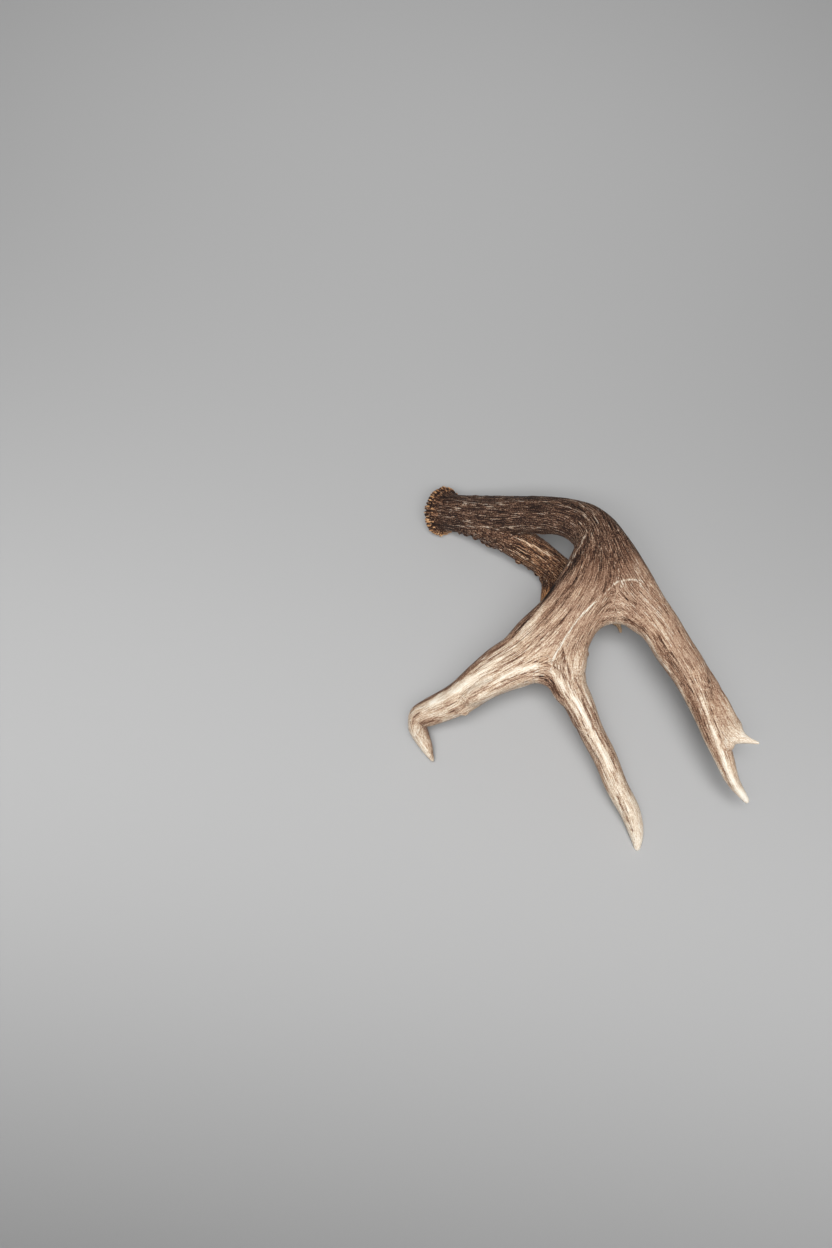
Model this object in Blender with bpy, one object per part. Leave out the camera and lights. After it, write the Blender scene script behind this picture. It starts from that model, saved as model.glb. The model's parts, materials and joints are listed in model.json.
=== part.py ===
"""A shed deer antler, lying on its burr, its brow tine and its middle tine.

The antler grew as one bone. It is drawn as one skin over overlapping limbs, and the skin is then parted by
thin saw cuts at its main forks: a lower beam with the burr, a brow tine, an upper beam, and three top tines.

The limbs are drawn in millimetres with the centre of the burr over the origin, and an empty then moves the
whole antler, so that the middle of its floor box is the origin. +Z is up and the burr's face looks down and back.
"""

import math

import bmesh
import bpy
import numpy as np
from mathutils import Matrix, Vector
from mathutils.bvhtree import BVHTree

MM = 0.001

# Each limb is a list of stations along its middle line: x, y, z, width, thickness. The width lies in the plane of
# the fork, and the thickness stands on it.
BEAM = [
    (6, -4, 25, 34, 34),
    (27, -19, 43, 35, 34),
    (58, -34, 65, 35, 33),
    (89, -47, 85, 33, 32),
    (112, -60, 100, 34, 31),
    (130, -79, 111, 40, 30),
    (140, -107, 118, 48, 29),
    (154, -136, 119, 48, 28),
    (168, -160, 117, 43, 27),
    (184, -179, 113, 34, 26),
    (194, -197, 109, 33, 25),
    (207, -218, 104, 31, 24),
    (214, -234, 99, 27, 22),
    (220, -252, 94, 22, 19),
    (227, -271, 87, 19, 17),
    (232, -282, 82, 17, 15),
    (241, -303, 71, 11, 11),
    (253, -316, 60, 5, 5),
]
FRONT_LIMB = [
    (137, -98, 115, 38, 28),
    (119, -147, 117, 48, 28),
    (100, -175, 112, 51, 28),
    (84, -189, 106, 51, 27),
    (66, -202, 98, 46, 26),
    (51, -207, 91, 41, 26),
    (34, -214, 81, 34, 25),
    (16, -223, 69, 29, 23),
    (1, -226, 58, 26, 22),
    (-11, -228, 50, 24, 20),
    (-19, -229, 43, 21, 19),
    (-21, -234, 35, 17, 16),
    (-18, -239, 28, 15, 13),
    (-12, -248, 18, 10, 10),
    (-8, -255, 11, 4, 4),
]
MIDDLE_LIMB = [
    (140, -120, 118, 41, 28),
    (127, -155, 117, 41, 28),
    (113, -181, 111, 31, 28),
    (105, -205, 103, 30, 27),
    (106, -225, 94, 31, 26),
    (115, -237, 86, 24, 24),
    (125, -256, 72, 21, 22),
    (137, -275, 59, 20, 21),
    (148, -295, 42, 19, 19),
    (160, -311, 25, 17, 17),
    (166, -325, 10, 12, 12),
    (167, -334, 2, 6, 5),
]
SIDE_WEB = [
    (200, -196, 108, 18, 12),
    (208, -209, 106, 20, 12),
    (219, -230, 102, 23, 12),
    (227, -245, 99, 23, 11),
    (234, -260, 97, 22, 10),
    (240, -271, 97, 21, 10),
    (246, -276, 98, 11, 8),
    (252, -279, 99, 6, 6),
    (260, -282, 100, 3, 3),
]
BROW_LIMB = [
    (27, -20, 42, 31, 28),
    (42, -34, 50, 30, 28),
    (57, -45, 52, 30, 27),
    (73, -54, 48, 30, 26),
    (89, -62, 41, 29, 25),
    (100, -67, 34, 28, 24),
    (116, -77, 25, 25, 21),
    (134, -92, 16, 18, 16),
    (152, -105, 8, 11, 10),
    (163, -114, 4, 6, 6),
    (165, -122, 1, 3, 3),
]
BROW_PRONG = [
    (106, -70, 28, 22, 18),
    (101, -86, 20, 16, 15),
    (98, -96, 12, 13, 12),
    (96, -105, 6, 7, 7),
    (95, -112, 3, 3, 3),
]
FRONT_SPUR = [
    (15, -227, 69, 20, 14),
    (18, -235, 66, 12, 9),
    (21, -240, 64, 4, 4),
]
# Webs that fill the two crotches between the top limbs, the rounded rims that close them, and a small web in the
# notch between the side tine and the rear tip.
REAR_WEB = [
    (145, -131, 119, 43, 26),
    (146, -150, 117, 38, 23),
    (147, -160, 115, 32, 18),
]
REAR_RIM = [
    (109, -226, 99, 9, 12),
    (112, -214, 105, 16, 20),
    (114, -198, 108, 16, 20),
    (120, -183, 111, 16, 20),
    (129, -173, 113, 16, 19),
    (139, -168, 114, 16, 18),
    (150, -167, 114, 16, 18),
    (160, -170, 114, 16, 18),
    (170, -177, 113, 16, 19),
    (180, -189, 111, 16, 20),
    (188, -202, 109, 16, 20),
    (194, -212, 106, 9, 12),
]
FRONT_WEB = [
    (112, -190, 109, 34, 26),
    (99, -202, 104, 34, 22),
    (92, -209, 101, 32, 18),
]
FRONT_RIM = [
    (14, -229, 71, 8, 10),
    (28, -227, 81, 16, 18),
    (45, -222, 89, 16, 18),
    (60, -218, 94, 16, 18),
    (71, -216, 97, 16, 18),
    (82, -216, 98, 16, 18),
    (91, -219, 97, 16, 18),
    (98, -225, 95, 16, 18),
    (105, -233, 91, 16, 19),
    (112, -243, 86, 16, 19),
    (118, -253, 80, 16, 18),
    (123, -262, 74, 9, 12),
]
NOTCH_WEB = [
    (226, -262, 90, 16, 12),
    (232, -272, 90, 14, 11),
    (237, -280, 91, 9, 8),
]
BEAM_NORMAL = (-0.30, -0.45, 0.84)
FORK_NORMAL = (-0.08, -0.32, 0.94)
TINE_NORMAL = (0.0, -0.25, 0.97)
LIMBS = {
    "beam": (BEAM, BEAM_NORMAL),
    "front": (FRONT_LIMB, FORK_NORMAL),
    "middle": (MIDDLE_LIMB, TINE_NORMAL),
    "side_web": (SIDE_WEB, FORK_NORMAL),
    "brow": (BROW_LIMB, BEAM_NORMAL),
    "prong": (BROW_PRONG, TINE_NORMAL),
    "spur": (FRONT_SPUR, FORK_NORMAL),
    "rear_web": (REAR_WEB, FORK_NORMAL),
    "rear_rim": (REAR_RIM, FORK_NORMAL),
    "front_web": (FRONT_WEB, FORK_NORMAL),
    "front_rim": (FRONT_RIM, FORK_NORMAL),
    "notch_web": (NOTCH_WEB, FORK_NORMAL),
}

SECTION_POINTS = 24
STEP = 3.0
VOXEL = 2.0
SMOOTHING = 8
SKIN_SHARE = 0.08

SAW = 0.3
# Each saw cut lies across a limb: its middle, the direction it is cut across, and the radius it reaches.
SAW_CUTS = {
    "brow": ((84, -59, 44), (0.80, -0.40, -0.45), 24),
    "beam": ((96, -51, 90), (0.79, -0.42, 0.45), 24),
    "front": ((57, -207, 93.5), (-0.82, -0.35, -0.45), 34),
    "middle": ((110, -231, 90), (0.20, -0.78, -0.59), 24),
    "rear": ((190, -190, 111), (0.55, -0.80, -0.22), 26),
}
# A point near the free end of each piece, which tells the pieces apart once they are cut.
PIECE_ENDS = {
    "lower_beam": (10, -7, 28),
    "upper_beam": (140, -107, 118),
    "brow_tine": (165, -122, 1),
    "front_tine": (-8, -255, 11),
    "middle_tine": (167, -334, 2),
    "rear_tine": (253, -316, 60),
}

BURR_MIDDLE = (0, 0, 20.5)
BURR_AXIS = (0.72, -0.46, 0.52)
KNOBS = 27
KNOB_SAMPLES = 4
# Rows of the burr from its flat face up to the beam: height, radius, and how far the knobs stand out.
BURR_ROWS = [
    (0.0, 19.5, 0.4),
    (1.6, 22.3, 1.2),
    (3.6, 23.3, 1.9),
    (5.8, 22.8, 1.9),
    (7.8, 21.0, 1.5),
    (10.5, 18.9, 1.0),
    (14.5, 17.6, 0.6),
    (19.0, 16.2, 0.2),
]

# Pearls are low long beads in rows: the piece they grow on, the limb they follow, the angle of the row round it,
# and the stretch of the limb from and to, in millimetres from its first station.
PEARL_ROWS = [("lower_beam", "beam", angle, 24, 112) for angle in range(0, 360, 60)] + [
    ("lower_beam", "brow", -15, 16, 66),
    ("lower_beam", "brow", 25, 22, 66),
    ("brow_tine", "brow", -25, 80, 120),
    ("brow_tine", "brow", 5, 82, 116),
    ("brow_tine", "brow", 60, 82, 126),
]
PEARL_LENGTHS = (7, 13)
PEARL_GAPS = (3, 12)
PEARL_WIDTH = 3.6
PEARL_HEIGHT = 2.6
PEARL_SUNK = 0.2
PEARL_WANDER = 7
SEED = 11

COLOURS = {
    "lower_beam": (0.060, 0.032, 0.022),
    "brow_tine": (0.085, 0.045, 0.028),
    "upper_beam": (0.230, 0.140, 0.092),
    "front_tine": (0.480, 0.370, 0.265),
    "middle_tine": (0.520, 0.410, 0.300),
    "rear_tine": (0.420, 0.310, 0.225),
}
ROUGHNESS = 0.55


def unit(vector):
    vector = np.asarray(vector, float)
    return vector / np.linalg.norm(vector, axis=-1, keepdims=True)


def smooth_stations(stations):
    """Stations every STEP mm on a smooth curve. Each stretch between two given stations is a cubic, whose slope at
    a station is the slope from the one before it to the one after it."""
    given = np.array(stations, float)
    along = np.append(0, np.cumsum(np.linalg.norm(np.diff(given[:, :3], axis=0), axis=1)))
    slopes = np.gradient(given, along, axis=0)
    at = np.linspace(0, along[-1], max(2, round(along[-1] / STEP)) + 1)
    i = np.clip(np.searchsorted(along, at, side="right") - 1, 0, len(along) - 2)
    length = (along[i + 1] - along[i])[:, None]
    t = (at - along[i])[:, None] / length
    return (
        (2 * t**3 - 3 * t**2 + 1) * given[i]
        + (t**3 - 2 * t**2 + t) * length * slopes[i]
        + (3 * t**2 - 2 * t**3) * given[i + 1]
        + (t**3 - t**2) * length * slopes[i + 1]
    )


def with_round_tip(rows):
    """The stations with a few more past the last one, which close the tip as a half ball."""
    last = rows[-1]
    direction = unit(rows[-1, :3] - rows[-2, :3])
    turn = np.radians([30, 60, 80])[:, None]
    ends = np.hstack([last[:3] + np.sin(turn) * direction * last[4] / 2, np.cos(turn) * last[3:]])
    return np.vstack([rows, ends])


def directions(rows, normal):
    """At each station: the way the limb runs, the way its width points, and the way its thickness points, which is
    the given normal made square to the limb."""
    forward = unit(np.gradient(rows[:, :3], axis=0))
    normal = np.asarray(normal, float)
    up = unit(normal - (forward @ normal)[:, None] * forward)
    return forward, np.cross(forward, up), up


def mesh_object(name, points, faces):
    mesh = bpy.data.meshes.new(name)
    mesh.from_pydata([tuple(p) for p in np.asarray(points) * MM], [], faces)
    return linked(name, mesh)


def linked(name, mesh):
    obj = bpy.data.objects.new(name, mesh)
    bpy.context.scene.collection.objects.link(obj)
    return obj


def tube_faces(rows, around):
    """Quads between the rings of a closed tube, and a flat face at each end."""
    faces = [
        (r * around + c, r * around + (c + 1) % around, (r + 1) * around + (c + 1) % around, (r + 1) * around + c)
        for r in range(rows - 1)
        for c in range(around)
    ]
    first = tuple(reversed(range(around)))
    last = tuple(range((rows - 1) * around, rows * around))
    return faces + [first, last]


def limb(name):
    """A tube of oval sections carried along a limb's middle line."""
    stations, normal = LIMBS[name]
    rows = with_round_tip(smooth_stations(stations))
    _, side, up = directions(rows, normal)
    turn = np.linspace(0, 2 * math.pi, SECTION_POINTS, endpoint=False)
    across = np.cos(turn)[None, :, None] * side[:, None, :] * rows[:, None, 3:4] / 2
    through = np.sin(turn)[None, :, None] * up[:, None, :] * rows[:, None, 4:5] / 2
    points = (rows[:, None, :3] - across + through).reshape(-1, 3)
    return mesh_object(name, points, tube_faces(len(rows), SECTION_POINTS))


def joined(name, objects):
    """One object that holds the meshes of all the given ones."""
    shape = bmesh.new()
    for obj in objects:
        shape.from_mesh(obj.data)
        bpy.data.objects.remove(obj)
    mesh = bpy.data.meshes.new(name)
    shape.to_mesh(mesh)
    shape.free()
    return linked(name, mesh)


def apply_modifiers(obj):
    graph = bpy.context.evaluated_depsgraph_get()
    mesh = bpy.data.meshes.new_from_object(obj.evaluated_get(graph))
    obj.modifiers.clear()
    obj.data = mesh


def boolean(obj, other, operation):
    modifier = obj.modifiers.new(operation.lower(), "BOOLEAN")
    modifier.operation = operation
    modifier.object = other
    modifier.use_self = True
    apply_modifiers(obj)
    bpy.data.objects.remove(other)


def antler_skin():
    """One skin round all the limbs, with the corners between them rounded into webs."""
    skin = joined("skin", [limb(name) for name in LIMBS])
    remesh = skin.modifiers.new("remesh", "REMESH")
    remesh.mode = "VOXEL"
    remesh.voxel_size = VOXEL * MM
    smooth = skin.modifiers.new("smooth", "SMOOTH")
    smooth.factor = 0.5
    smooth.iterations = SMOOTHING
    thin_out = skin.modifiers.new("thin_out", "DECIMATE")
    thin_out.ratio = SKIN_SHARE
    apply_modifiers(skin)
    return skin


def saw_blade(name, middle, direction, radius):
    """A thin round disc across a limb."""
    turn = Vector(direction).to_track_quat("Z", "Y").to_matrix().to_4x4()
    shape = bmesh.new()
    bmesh.ops.create_cone(
        shape,
        cap_ends=True,
        segments=24,
        radius1=radius * MM,
        radius2=radius * MM,
        depth=SAW * MM,
        matrix=Matrix.Translation(Vector(middle) * MM) @ turn,
    )
    mesh = bpy.data.meshes.new(name)
    shape.to_mesh(mesh)
    shape.free()
    return linked(name, mesh)


def piece_of(skin, name, end):
    """The loose part of the cut skin that reaches nearest to the given point, as its own object."""
    shape = bmesh.new()
    shape.from_mesh(skin.data)
    place = Vector(end) * MM
    nearest = min(shape.verts, key=lambda vertex: (vertex.co - place).length)
    found = {nearest}
    to_visit = [nearest]
    while to_visit:
        vertex = to_visit.pop()
        others = {edge.other_vert(vertex) for edge in vertex.link_edges} - found
        found |= others
        to_visit += others
    bmesh.ops.delete(shape, geom=[v for v in shape.verts if v not in found], context="VERTS")
    mesh = bpy.data.meshes.new(name)
    shape.to_mesh(mesh)
    shape.free()
    return linked(name, mesh)


def burr(random):
    """The knobbed ring at the antler's foot: a turned profile whose radius swells into a round knob, then drops to
    a crease, all the way round. Each knob has its own size."""
    around = KNOBS * KNOB_SAMPLES
    turn = np.arange(around) / around * 2 * math.pi
    sizes = random.uniform(0.45, 1.0, KNOBS)[np.arange(around) // KNOB_SAMPLES]
    lobe = np.abs(np.sin(turn * KNOBS / 2)) ** 0.8 * sizes
    heights, radii, proud = np.array(BURR_ROWS).T
    radius = radii[:, None] + proud[:, None] * (2 * lobe[None, :] - 0.6)
    axis = unit(BURR_AXIS)
    side = unit(np.cross(axis, (0, 0, 1)))
    up = np.cross(side, axis)
    ring = np.cos(turn)[:, None] * side + np.sin(turn)[:, None] * up
    points = np.array(BURR_MIDDLE) + heights[:, None, None] * axis + radius[:, :, None] * ring[None]
    faces = [tuple(reversed(face)) for face in tube_faces(len(BURR_ROWS), around)]
    return mesh_object("burr", points.reshape(-1, 3), faces)


def pearl(name, middle, forward, outward, length):
    """A low bead with six sides, pointed at both ends."""
    across = np.cross(outward, forward)
    turn = np.radians(np.arange(30, 390, 60))
    ring = 0.85 * (
        np.cos(turn)[:, None] * across * PEARL_WIDTH / 2 + np.sin(turn)[:, None] * outward * PEARL_HEIGHT / 2
    )
    half = forward * length / 2
    points = np.vstack([middle - half, ring + middle - 0.5 * half, ring + middle + 0.5 * half, middle + half])
    faces = []
    for i in range(6):
        j = (i + 1) % 6
        faces += [(0, 1 + j, 1 + i), (1 + i, 1 + j, 7 + j, 7 + i), (7 + i, 7 + j, 13)]
    return mesh_object(name, points, faces)


def pearl_row(surface, name, angle, start, end, random):
    """Pearls along one row of a limb. Each is dropped on to the surface from outside, so that it sits just sunk."""
    stations, normal = LIMBS[name]
    rows = smooth_stations(stations)
    forward, side, up = directions(rows, normal)
    made = []
    at = start + random.uniform(*PEARL_GAPS)
    while at < end - PEARL_LENGTHS[1]:
        length = random.uniform(*PEARL_LENGTHS)
        turn = math.radians(angle + random.uniform(-PEARL_WANDER, PEARL_WANDER))
        i = min(round((at + length / 2) / STEP), len(rows) - 1)
        outward = math.cos(turn) * side[i] + math.sin(turn) * up[i]
        outside = rows[i, :3] + 50 * outward
        hit = surface.ray_cast(Vector(outside) * MM, Vector(-outward))
        middle = np.array(hit[0]) / MM - PEARL_SUNK * outward
        made.append(pearl(f"pearl_{name}", middle, forward[i], outward, length))
        at += length + random.uniform(*PEARL_GAPS)
    return made


def add_pearls(piece, random):
    points = [v.co.copy() for v in piece.data.vertices]
    surface = BVHTree.FromPolygons(points, [tuple(p.vertices) for p in piece.data.polygons])
    made = []
    for name, *row in PEARL_ROWS:
        if name == piece.name:
            made += pearl_row(surface, *row, random)
    if made:
        boolean(piece, joined("pearls", made), "UNION")


def material(name, colour):
    made = bpy.data.materials.new(name)
    made.use_nodes = True
    shader = made.node_tree.nodes["Principled BSDF"]
    shader.inputs["Base Color"].default_value = (*colour, 1)
    shader.inputs["Roughness"].default_value = ROUGHNESS
    shader.inputs["Metallic"].default_value = 0
    return made


def finish(piece):
    piece.data.materials.append(material(piece.name, COLOURS[piece.name]))
    piece.data.shade_smooth()
    piece.data.set_sharp_from_angle(angle=math.radians(50))


def stand_on_origin(pieces):
    """Moves the antler by an empty, so that its box stands on the floor with its middle over the origin."""
    corners = np.array([v.co for piece in pieces for v in piece.data.vertices])
    low, high = corners.min(axis=0), corners.max(axis=0)
    foot = bpy.data.objects.new("antler", None)
    bpy.context.scene.collection.objects.link(foot)
    foot.location = (-(low[0] + high[0]) / 2, -(low[1] + high[1]) / 2, -low[2])
    for piece in pieces:
        piece.parent = foot
    print("antler moved by", [round(value / MM, 2) for value in foot.location])


def main():
    for obj in list(bpy.data.objects):
        bpy.data.objects.remove(obj)
    random = np.random.default_rng(SEED)
    skin = antler_skin()
    blades = [saw_blade(name, *cut) for name, cut in SAW_CUTS.items()]
    boolean(skin, joined("blades", blades), "DIFFERENCE")
    pieces = {name: piece_of(skin, name, end) for name, end in PIECE_ENDS.items()}
    bpy.data.objects.remove(skin)
    boolean(pieces["lower_beam"], burr(random), "UNION")
    for piece in pieces.values():
        add_pearls(piece, random)
        finish(piece)
    stand_on_origin(pieces.values())


main()
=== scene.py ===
# %% [markdown]
# # A shed deer antler
#
# An antler is one grown bone. It leaves the skull at a knobbed ring, the burr, runs up as a brown furrowed
# beam, bends over, and forks into pale tines with worn ivory tips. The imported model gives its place, its size
# and its split into six nodes. This script dresses them with two closed meshes: the bone, and the burr round
# its foot.

import json
import math
import time

import bpy
import numpy as np
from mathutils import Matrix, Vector


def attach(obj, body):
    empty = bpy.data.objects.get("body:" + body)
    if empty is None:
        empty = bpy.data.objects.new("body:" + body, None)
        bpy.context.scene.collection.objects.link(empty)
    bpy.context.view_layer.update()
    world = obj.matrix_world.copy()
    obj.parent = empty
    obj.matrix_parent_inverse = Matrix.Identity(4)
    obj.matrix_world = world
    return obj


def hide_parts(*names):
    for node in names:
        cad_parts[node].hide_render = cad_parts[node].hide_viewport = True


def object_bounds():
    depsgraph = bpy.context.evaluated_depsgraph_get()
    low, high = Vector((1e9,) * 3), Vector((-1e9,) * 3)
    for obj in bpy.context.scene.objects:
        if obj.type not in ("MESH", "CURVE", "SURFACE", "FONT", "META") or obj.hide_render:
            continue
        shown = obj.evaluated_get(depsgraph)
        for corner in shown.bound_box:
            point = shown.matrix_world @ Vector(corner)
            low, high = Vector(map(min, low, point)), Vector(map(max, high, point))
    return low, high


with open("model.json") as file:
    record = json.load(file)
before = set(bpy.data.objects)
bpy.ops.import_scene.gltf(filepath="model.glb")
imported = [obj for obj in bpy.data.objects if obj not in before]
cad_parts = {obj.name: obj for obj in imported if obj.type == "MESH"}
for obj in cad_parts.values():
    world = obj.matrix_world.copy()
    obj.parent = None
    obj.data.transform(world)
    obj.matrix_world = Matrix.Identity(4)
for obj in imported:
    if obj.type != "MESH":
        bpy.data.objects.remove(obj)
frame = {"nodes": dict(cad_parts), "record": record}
cad_low, cad_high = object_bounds()
started = time.time()
print("nodes:", ", ".join(sorted(frame["nodes"])))
print("box in mm:", [round(1000 * side) for side in cad_high - cad_low])

# %% [markdown]
# ## The limbs
#
# A branching form is easiest to hold as a few middle lines. Each station below gives a point on a limb's
# middle line and the limb's width and thickness there, in millimetres. The burr's centre stands over the
# origin of this drawing, and the record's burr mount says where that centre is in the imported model. A limb
# could also be sculpted by hand, but a list of stations keeps every measure in one place.

# %% Middle lines of the limbs
MM = 0.001
BURR_CENTRE = np.array([0.0, 0.0, 20.5])
mount = frame["record"]["mounts"][0]
MOVE = np.array(mount["pos_m"]) / MM - BURR_CENTRE
BEAM = [
    (6, -4, 25, 34, 34),
    (27, -19, 43, 35, 34),
    (58, -34, 65, 35, 33),
    (89, -47, 85, 33, 32),
    (112, -60, 100, 34, 31),
    (130, -79, 111, 40, 30),
    (140, -107, 118, 48, 29),
    (154, -136, 119, 48, 28),
    (168, -160, 117, 43, 27),
    (184, -179, 113, 34, 26),
    (194, -197, 109, 33, 25),
    (207, -218, 104, 31, 24),
    (214, -234, 99, 27, 22),
    (220, -252, 94, 22, 19),
    (227, -271, 87, 19, 17),
    (232, -282, 82, 17, 15),
    (241, -303, 71, 11, 11),
    (253, -316, 60, 5, 5),
]
FRONT_LIMB = [
    (137, -98, 115, 38, 28),
    (119, -147, 117, 48, 28),
    (100, -175, 112, 51, 28),
    (84, -189, 106, 51, 27),
    (66, -202, 98, 46, 26),
    (51, -207, 91, 41, 26),
    (34, -214, 81, 34, 25),
    (16, -223, 69, 29, 23),
    (1, -226, 58, 26, 22),
    (-11, -228, 50, 24, 20),
    (-19, -229, 43, 21, 19),
    (-21, -234, 35, 17, 16),
    (-18, -239, 28, 15, 13),
    (-12, -248, 18, 10, 10),
    (-8, -255, 11, 4, 4),
]
MIDDLE_LIMB = [
    (140, -120, 118, 41, 28),
    (127, -155, 117, 41, 28),
    (113, -181, 111, 31, 28),
    (105, -205, 103, 30, 27),
    (106, -225, 94, 31, 26),
    (115, -237, 86, 24, 24),
    (125, -256, 72, 21, 22),
    (137, -275, 59, 20, 21),
    (148, -295, 42, 19, 19),
    (160, -311, 25, 17, 17),
    (166, -325, 10, 12, 12),
    (167, -334, 2, 6, 5),
]
SIDE_WEB = [
    (200, -196, 108, 18, 12),
    (208, -209, 106, 20, 12),
    (219, -230, 102, 23, 12),
    (227, -245, 99, 23, 11),
    (234, -260, 97, 22, 10),
    (240, -271, 97, 21, 10),
    (246, -276, 98, 11, 8),
    (252, -279, 99, 6, 6),
    (260, -282, 100, 3, 3),
]
BROW_LIMB = [
    (27, -20, 42, 31, 28),
    (42, -34, 50, 30, 28),
    (57, -45, 52, 30, 27),
    (73, -54, 48, 30, 26),
    (89, -62, 41, 29, 25),
    (100, -67, 34, 28, 24),
    (116, -77, 25, 25, 21),
    (134, -92, 16, 18, 16),
    (152, -105, 8, 11, 10),
    (163, -113, 4, 5, 5),
    (165, -121, 2, 3, 3),
]
BROW_PRONG = [
    (106, -70, 28, 22, 18),
    (101, -86, 20, 16, 15),
    (98, -96, 12, 13, 12),
    (96, -105, 6, 7, 7),
    (95, -112, 3, 3, 3),
]
FRONT_SPUR = [
    (15, -227, 69, 32, 15),
    (18, -233, 67, 20, 10),
    (20, -237, 65, 6, 4),
]
REAR_WEB = [
    (145, -131, 119, 43, 26),
    (146, -150, 117, 38, 23),
    (147, -160, 115, 32, 18),
]
REAR_RIM = [
    (109, -226, 99, 9, 12),
    (112, -214, 105, 16, 20),
    (114, -198, 108, 16, 20),
    (120, -183, 111, 16, 20),
    (129, -173, 113, 16, 19),
    (139, -168, 114, 16, 18),
    (150, -167, 114, 16, 18),
    (160, -170, 114, 16, 18),
    (170, -177, 113, 16, 19),
    (180, -189, 111, 16, 20),
    (188, -202, 109, 16, 20),
    (194, -212, 106, 9, 12),
]
FRONT_WEB = [
    (112, -190, 109, 34, 26),
    (99, -202, 104, 34, 22),
    (92, -209, 101, 32, 18),
]
FRONT_RIM = [
    (14, -229, 71, 8, 10),
    (28, -227, 81, 16, 18),
    (45, -222, 89, 16, 18),
    (60, -218, 94, 16, 18),
    (71, -216, 97, 16, 18),
    (82, -216, 98, 16, 18),
    (91, -219, 97, 16, 18),
    (98, -225, 95, 16, 18),
    (105, -233, 91, 16, 19),
    (112, -243, 86, 16, 19),
    (118, -253, 80, 16, 18),
    (123, -262, 74, 9, 12),
]
NOTCH_WEB = [
    (226, -262, 90, 16, 12),
    (232, -272, 90, 14, 11),
    (237, -280, 91, 9, 8),
]
# Two lines that no limb follows: the grain also runs out of one tine, round the crotch and into the next.
REAR_ARCH = [
    (152, -300, 40, 20, 20),
    (128, -258, 74, 22, 22),
    (112, -228, 96, 26, 24),
    (108, -205, 105, 28, 24),
    (114, -181, 112, 30, 24),
    (126, -164, 116, 30, 24),
    (143, -156, 118, 30, 22),
    (161, -160, 117, 30, 24),
    (177, -174, 114, 28, 24),
    (191, -195, 109, 26, 24),
    (204, -216, 104, 24, 22),
]
FRONT_ARCH = [
    (30, -220, 78, 22, 20),
    (50, -214, 90, 24, 22),
    (70, -209, 98, 26, 22),
    (84, -208, 102, 26, 20),
    (95, -212, 101, 26, 20),
    (104, -221, 97, 24, 22),
    (115, -237, 88, 22, 22),
    (128, -260, 72, 20, 20),
]
BEAM_NORMAL = (-0.30, -0.45, 0.84)
FORK_NORMAL = (-0.08, -0.32, 0.94)
TINE_NORMAL = (0.0, -0.25, 0.97)
LIMBS = {
    "beam": (BEAM, BEAM_NORMAL),
    "front": (FRONT_LIMB, FORK_NORMAL),
    "middle": (MIDDLE_LIMB, TINE_NORMAL),
    "side_web": (SIDE_WEB, FORK_NORMAL),
    "brow": (BROW_LIMB, BEAM_NORMAL),
    "prong": (BROW_PRONG, TINE_NORMAL),
    "spur": (FRONT_SPUR, FORK_NORMAL),
    "rear_web": (REAR_WEB, FORK_NORMAL),
    "rear_rim": (REAR_RIM, FORK_NORMAL),
    "front_web": (FRONT_WEB, FORK_NORMAL),
    "front_rim": (FRONT_RIM, FORK_NORMAL),
    "notch_web": (NOTCH_WEB, FORK_NORMAL),
}
ARCHES = {"rear_arch": (REAR_ARCH, FORK_NORMAL), "front_arch": (FRONT_ARCH, FORK_NORMAL)}
STEP = 2.0


def unit(vector):
    """The vector divided by its own length."""
    vector = np.asarray(vector, float)
    return vector / np.linalg.norm(vector, axis=-1, keepdims=True)


def smooth_stations(stations):
    """Stations every STEP mm. Each stretch between two given ones is a cubic, whose slope at a station is the
    slope from the one before it to the one after it."""
    given = np.array(stations, float)
    along = np.append(0, np.cumsum(np.linalg.norm(np.diff(given[:, :3], axis=0), axis=1)))
    slopes = np.gradient(given, along, axis=0)
    at = np.linspace(0, along[-1], max(2, round(along[-1] / STEP)) + 1)
    i = np.clip(np.searchsorted(along, at, side="right") - 1, 0, len(along) - 2)
    length = (along[i + 1] - along[i])[:, None]
    t = (at - along[i])[:, None] / length
    return (
        (2 * t**3 - 3 * t**2 + 1) * given[i]
        + (t**3 - 2 * t**2 + t) * length * slopes[i]
        + (3 * t**2 - 2 * t**3) * given[i + 1]
        + (t**3 - t**2) * length * slopes[i + 1]
    )


def directions(rows, normal):
    """At each station: the way the limb runs, the way its width points (forward x up), and the way its
    thickness points, which is the given normal made square to the limb."""
    forward = unit(np.gradient(rows[:, :3], axis=0))
    normal = np.asarray(normal, float)
    up = unit(normal - (forward @ normal)[:, None] * forward)
    return forward, np.cross(forward, up), up


ROWS = {name: smooth_stations(stations) for name, (stations, _) in {**LIMBS, **ARCHES}.items()}
WAYS = {name: directions(ROWS[name], normal) for name, (_, normal) in {**LIMBS, **ARCHES}.items()}
for name, rows in ROWS.items():
    print(f"{name}: {STEP * (len(rows) - 1):.0f} mm long, {len(rows)} stations")

# %% [markdown]
# ## One skin round all the limbs
#
# Each limb is a tube: an oval carried along the middle line and closed by half a ball. The tubes run into
# each other at the forks. A voxel Remesh turns them into one skin of even small faces, and a Smooth modifier
# rounds the corners between them into the webs that a real fork has. Even faces matter here, because the
# grain is carved into them point by point.

# %% Tubes, remesh and smooth
# Points round each tube, size of a voxel in mm, and passes of the Smooth modifier.
AROUND = 48
VOXEL = 1.16
SMOOTHING = 26


def with_round_tip(rows):
    """The stations with a few more past the last one: there the width follows a cosine and the way forward a
    sine, which is half a ball."""
    last = rows[-1]
    direction = unit(rows[-1, :3] - rows[-2, :3])
    turn = np.radians([30, 60, 80])[:, None]
    ends = np.hstack([last[:3] + np.sin(turn) * direction * last[4] / 2, np.cos(turn) * last[3:]])
    return np.vstack([rows, ends])


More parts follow.
